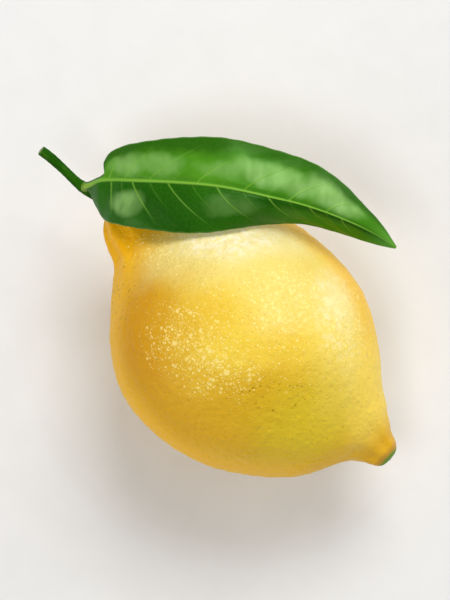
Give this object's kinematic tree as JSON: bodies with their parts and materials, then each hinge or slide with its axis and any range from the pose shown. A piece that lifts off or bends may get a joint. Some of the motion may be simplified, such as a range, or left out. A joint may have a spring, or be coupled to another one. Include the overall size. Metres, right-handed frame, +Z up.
{
  "type": "lemon",
  "caption": "Whole ripe lemon as picked, lying on its side, with a short cut stem and a glossy leaf that arches over its shoulder.",
  "frame": {"origin": "centre of the small flat spot under the fruit, on the surface it rests on", "axes": "+X along the fruit from the stem end to the nipple, +Y towards the side the leaf lies on, +Z up"},
  "size_m": [0.1103, 0.073, 0.0589],
  "materials": {
    "rind": "waxy, fine pores, soft gloss",
    "calyx": "matt green, dry brown edges",
    "stem": "satin green bark, pale cut end",
    "leaf": "glossy upper face with pale veins, matt lighter underside"
  },
  "bodies": {
    "root": {"fruit": "rind", "calyx": "calyx", "stem": "stem", "leaf": "leaf"}
  },
  "joints": []
}
